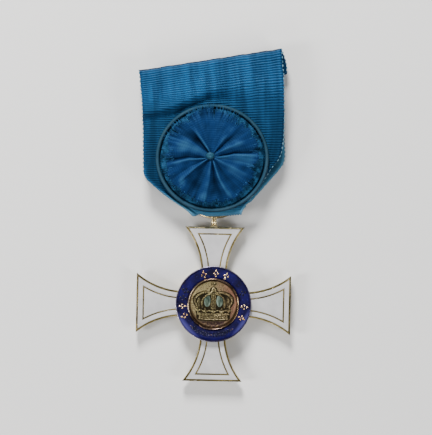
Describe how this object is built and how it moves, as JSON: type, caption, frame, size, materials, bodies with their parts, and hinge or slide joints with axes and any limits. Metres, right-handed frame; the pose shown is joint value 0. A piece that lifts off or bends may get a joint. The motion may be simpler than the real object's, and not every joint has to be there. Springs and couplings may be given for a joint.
{
  "type": "order cross",
  "caption": "Enamelled gilt cross with a crowned centre, hung by a ring from a folded ribbon that carries a pleated rosette, with a brooch pin behind.",
  "frame": {"origin": "under the middle of the whole piece, on the surface it lies on", "axes": "+Y from the cross up to the ribbon's top fold, +Z out of the face that is seen when it is worn, +X to the viewer's right"},
  "size_m": [0.0425, 0.0909, 0.0096],
  "materials": {
    "gilt": "old gilding, worn along the edges",
    "white_enamel": "glossy opaque enamel",
    "blue_enamel": "glossy translucent enamel",
    "ribbon_silk": "ribbed silk with a soft sheen",
    "rosette_silk": "ribbed silk with a soft sheen",
    "rim_silk": "silk cord cover, greyish",
    "button_silk": "silk, faded",
    "backing_cloth": "plain matt cloth",
    "pin_steel": "dull, lightly worn"
  },
  "bodies": {
    "root": {"cross_body": "gilt", "enamel_border_front_top": "white_enamel", "enamel_border_front_left": "white_enamel", "enamel_border_front_bottom": "white_enamel", "enamel_border_front_right": "white_enamel", "enamel_panel_front_top": "white_enamel", "enamel_panel_front_left": "white_enamel", "enamel_panel_front_bottom": "white_enamel", "enamel_panel_front_right": "white_enamel", "enamel_border_back_top": "white_enamel", "enamel_border_back_left": "white_enamel", "enamel_border_back_bottom": "white_enamel", "enamel_border_back_right": "white_enamel", "enamel_panel_back_top": "white_enamel", "enamel_panel_back_left": "white_enamel", "enamel_panel_back_bottom": "white_enamel", "enamel_panel_back_right": "white_enamel", "medallion_front": "gilt", "medallion_back": "gilt", "enamel_ring_front": "blue_enamel", "enamel_ring_back": "blue_enamel", "crown_disc": "gilt", "suspension_ring": "gilt", "ribbon": "ribbon_silk", "rosette_backing": "backing_cloth", "rosette_rim": "rim_silk", "rosette_fan": "rosette_silk", "rosette_button": "button_silk", "brooch_pin": "pin_steel"}
  },
  "joints": []
}
